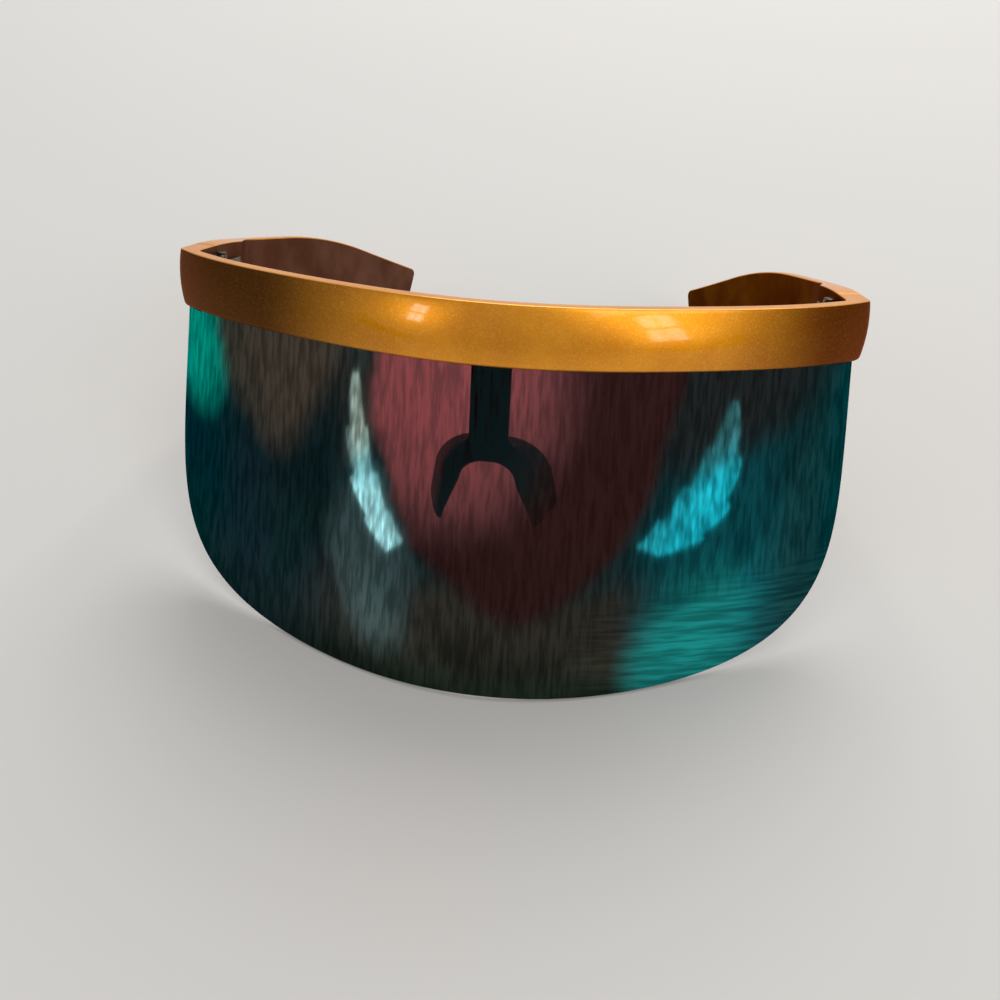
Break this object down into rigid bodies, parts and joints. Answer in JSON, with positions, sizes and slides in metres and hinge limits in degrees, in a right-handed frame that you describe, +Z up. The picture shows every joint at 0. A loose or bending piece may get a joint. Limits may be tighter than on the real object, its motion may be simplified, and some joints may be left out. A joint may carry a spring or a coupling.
{
  "type": "visor sunglasses",
  "caption": "Shield sunglasses with a curved brow bar, one tall semi-transparent mirrored lens, a black nose piece and hinged temples that fold.",
  "frame": {"origin": "on the surface that the open glasses stand on, under the middle of their overall box", "axes": "+Z up, -Y the way the lens faces, +X towards the wearer's left as worn, which is the right of a view of the lens' front"},
  "size_m": [0.1674, 0.1626, 0.0843],
  "materials": {
    "paint": "gold pearl paint under a gloss clear coat",
    "lens": "mirror coated, semi-transparent",
    "nose": "satin",
    "steel": "satin"
  },
  "bodies": {
    "front": {"brow_bar": "paint", "lens": "lens", "nose_bridge": "nose", "left_nose_screw": "steel", "right_nose_screw": "steel", "left_front_hinge_leaf": "steel", "left_hinge_screw": "steel", "left_front_leaf_screw_1": "steel", "left_front_leaf_screw_2": "steel", "right_front_hinge_leaf": "steel", "right_hinge_screw": "steel", "right_front_leaf_screw_1": "steel", "right_front_leaf_screw_2": "steel"},
    "left_arm": {"left_temple": "paint", "left_temple_hinge_leaf": "steel", "left_temple_leaf_screw_1": "steel", "left_temple_leaf_screw_2": "steel"},
    "right_arm": {"right_temple": "paint", "right_temple_hinge_leaf": "steel", "right_temple_leaf_screw_1": "steel", "right_temple_leaf_screw_2": "steel"}
  },
  "joints": [
    {"name": "left_fold", "type": "hinge", "parent": "front", "child": "left_arm", "pos_m": [-0.07472, -0.00593, 0.06301], "axis": [0, -0.387, -0.9221], "range_deg": [0, 90]},
    {"name": "right_fold", "type": "hinge", "parent": "front", "child": "right_arm", "pos_m": [0.07472, -0.00593, 0.06301], "axis": [0, 0.387, 0.9221], "range_deg": [0, 76]}
  ]
}
